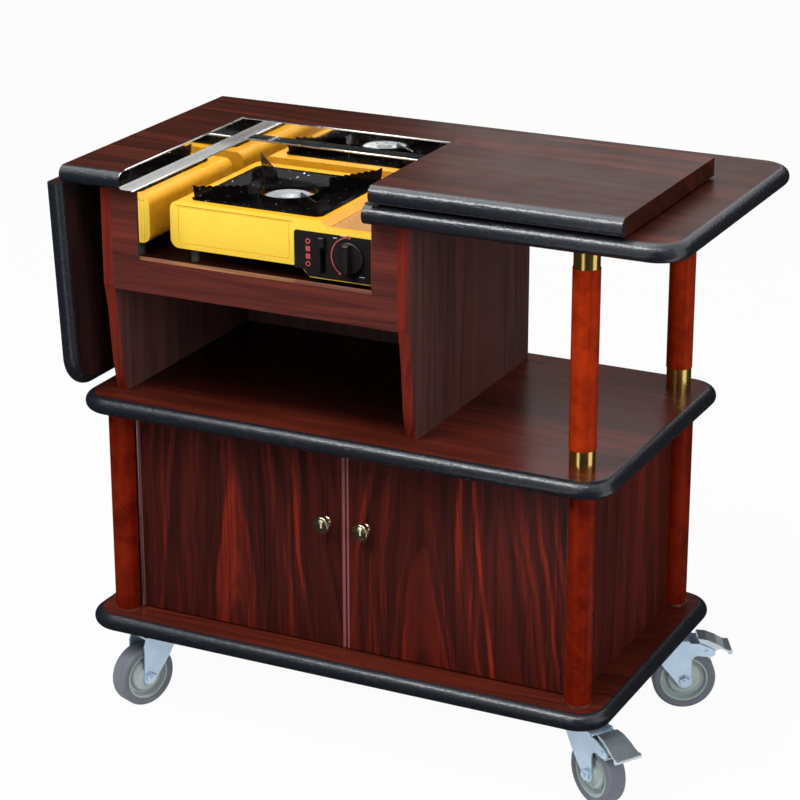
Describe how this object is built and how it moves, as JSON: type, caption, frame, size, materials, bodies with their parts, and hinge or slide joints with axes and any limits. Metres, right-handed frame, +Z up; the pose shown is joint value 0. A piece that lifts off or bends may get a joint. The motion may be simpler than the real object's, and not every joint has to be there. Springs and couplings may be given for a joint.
{
  "type": "tableside cooking cart",
  "caption": "Wooden rolling service cart with a lower door cabinet, open shelves, a drop leaf, swivel casters and a lidded steel well that holds a portable gas stove.",
  "frame": {"origin": "on the floor under the middle of the overall length and depth", "axes": "+X to the right of someone facing the doors, along the length; +Y from the doors to the back; +Z up"},
  "size_m": [1.0044, 0.5, 0.9178],
  "materials": {
    "top_wood": "lacquered gloss",
    "door_wood": "lacquered gloss, dark streaked grain",
    "panel_wood": "lacquered satin",
    "post_wood": "lacquered gloss",
    "edge_moulding": "soft gloss",
    "mirror_steel": "mirror polished",
    "hinge_steel": "plain",
    "brass": "polished",
    "zinc": "bright zinc plated",
    "rim_plastic": "satin",
    "tyre": "matt grey rubber",
    "yellow_enamel": "gloss",
    "black_plastic": "satin",
    "black_enamel": "gloss enamel",
    "burner_metal": "cast, satin",
    "foot_rubber": "matt"
  },
  "bodies": {
    "frame": {"base_board": "top_wood", "base_edge": "edge_moulding", "mid_shelf": "top_wood", "mid_shelf_edge": "edge_moulding", "top_board": "top_wood", "top_edge": "edge_moulding", "opening_trim": "mirror_steel", "lid_hinge_fixed": "hinge_steel", "leaf_hinge_fixed": "hinge_steel", "lower_posts": "post_wood", "foot_rings": "brass", "upper_posts": "post_wood", "post_ferrules": "brass", "cabinet_side_left": "panel_wood", "cabinet_side_right": "panel_wood", "cabinet_back": "panel_wood", "door_hinge_fixed": "hinge_steel", "upper_side_left": "panel_wood", "upper_side_right": "panel_wood", "front_fascia": "panel_wood", "stove_floor": "panel_wood", "niche_back": "panel_wood", "steel_liner": "mirror_steel", "caster_plates": "zinc", "caster_screws": "zinc"},
    "door_left": {"door_left": "door_wood", "door_knob_left": "brass", "door_hinge_left": "hinge_steel"},
    "door_right": {"door_right": "door_wood", "door_knob_right": "brass", "door_hinge_right": "hinge_steel"},
    "lid": {"lid_board": "top_wood", "lid_edge": "edge_moulding", "lid_hinge_leaf": "hinge_steel"},
    "leaf": {"leaf_board": "top_wood", "leaf_edge": "edge_moulding", "leaf_hinge_leaf": "hinge_steel"},
    "stove": {"stove_body": "yellow_enamel", "stove_feet": "foot_rubber", "control_panel": "black_plastic", "burner_head": "burner_metal"},
    "pan_tray": {"pan_tray": "black_enamel", "pan_prongs": "black_enamel"},
    "gas_dial": {"gas_dial": "black_plastic"},
    "lock_lever": {"lock_lever": "black_plastic"},
    "gas_cover": {"gas_cover": "yellow_enamel"},
    "fork_front_left": {"fork_front_left": "zinc"},
    "wheel_front_left": {"rim_front_left": "rim_plastic", "tyre_front_left": "tyre"},
    "fork_front_right": {"fork_front_right": "zinc"},
    "wheel_front_right": {"rim_front_right": "rim_plastic", "tyre_front_right": "tyre"},
    "brake_front_right": {"brake_pedal_front_right": "zinc"},
    "fork_rear_left": {"fork_rear_left": "zinc"},
    "wheel_rear_left": {"rim_rear_left": "rim_plastic", "tyre_rear_left": "tyre"},
    "fork_rear_right": {"fork_rear_right": "zinc"},
    "wheel_rear_right": {"rim_rear_right": "rim_plastic", "tyre_rear_right": "tyre"},
    "brake_rear_right": {"brake_pedal_rear_right": "zinc"}
  },
  "joints": [
    {"name": "door_left_hinge", "type": "hinge", "parent": "frame", "child": "door_left", "pos_m": [-0.39277, -0.191, 0.33], "axis": [0, 0, -1], "range_deg": [0, 105]},
    {"name": "door_right_hinge", "type": "hinge", "parent": "frame", "child": "door_right", "pos_m": [0.32723, -0.191, 0.33], "axis": [0, 0, 1], "range_deg": [0, 105]},
    {"name": "lid_hinge", "type": "hinge", "parent": "frame", "child": "lid", "pos_m": [0.02773, -0.07, 0.8888], "axis": [0, -1, 0], "range_deg": [0, 180]},
    {"name": "leaf_hinge", "type": "hinge", "parent": "frame", "child": "leaf", "pos_m": [-0.47477, 0, 0.8598], "axis": [0, 1, 0], "range_deg": [0, 92.8]},
    {"name": "swivel_front_left", "type": "hinge", "parent": "frame", "child": "fork_front_left", "pos_m": [-0.38277, -0.158, 0.118], "axis": [0, 0, 1], "continuous": true},
    {"name": "roll_front_left", "type": "hinge", "parent": "fork_front_left", "child": "wheel_front_left", "pos_m": [-0.39731, -0.19311, 0.05], "axis": [0.9239, -0.3827, 0], "continuous": true},
    {"name": "swivel_front_right", "type": "hinge", "parent": "frame", "child": "fork_front_right", "pos_m": [0.34523, -0.158, 0.118], "axis": [0, 0, 1], "continuous": true},
    {"name": "roll_front_right", "type": "hinge", "parent": "fork_front_right", "child": "wheel_front_right", "pos_m": [0.37763, -0.17786, 0.05], "axis": [0.5225, 0.8526, 0], "continuous": true},
    {"name": "brake_front_right", "type": "hinge", "parent": "fork_front_right", "child": "brake_front_right", "pos_m": [0.4062, -0.19536, 0.1], "axis": [0.5225, 0.8526, 0], "range_deg": [0, 12]},
    {"name": "swivel_rear_left", "type": "hinge", "parent": "frame", "child": "fork_rear_left", "pos_m": [-0.38277, 0.158, 0.118], "axis": [0, 0, 1], "continuous": true},
    {"name": "roll_rear_left", "type": "hinge", "parent": "fork_rear_left", "child": "wheel_rear_left", "pos_m": [-0.4051, 0.12726, 0.05], "axis": [0.809, -0.5878, 0], "continuous": true},
    {"name": "swivel_rear_right", "type": "hinge", "parent": "frame", "child": "fork_rear_right", "pos_m": [0.34523, 0.158, 0.118], "axis": [0, 0, 1], "continuous": true},
    {"name": "roll_rear_right", "type": "hinge", "parent": "fork_rear_right", "child": "wheel_rear_right", "pos_m": [0.37875, 0.1759, 0.05], "axis": [-0.471, 0.8821, 0], "continuous": true},
    {"name": "brake_rear_right", "type": "hinge", "parent": "fork_rear_right", "child": "brake_rear_right", "pos_m": [0.40831, 0.19168, 0.1], "axis": [-0.471, 0.8821, 0], "range_deg": [0, 12]},
    {"name": "stove_lift", "type": "slide", "parent": "frame", "child": "stove", "axis": [0, 0, 1], "range_m": [0, 0.2]},
    {"name": "pan_tray_lift", "type": "slide", "parent": "stove", "child": "pan_tray", "axis": [0, 0, 1], "range_m": [0, 0.1]},
    {"name": "gas_dial_turn", "type": "hinge", "parent": "stove", "child": "gas_dial", "pos_m": [-0.03707, -0.165, 0.7794], "axis": [0, -1, 0], "range_deg": [0, 145]},
    {"name": "lock_lever_slide", "type": "slide", "parent": "stove", "child": "lock_lever", "axis": [0, 0, -1], "range_m": [0, 0.04]},
    {"name": "gas_cover_hinge", "type": "hinge", "parent": "stove", "child": "gas_cover", "pos_m": [-0.07147, -0.03, 0.817], "axis": [0, -1, 0], "range_deg": [0, 85]}
  ]
}
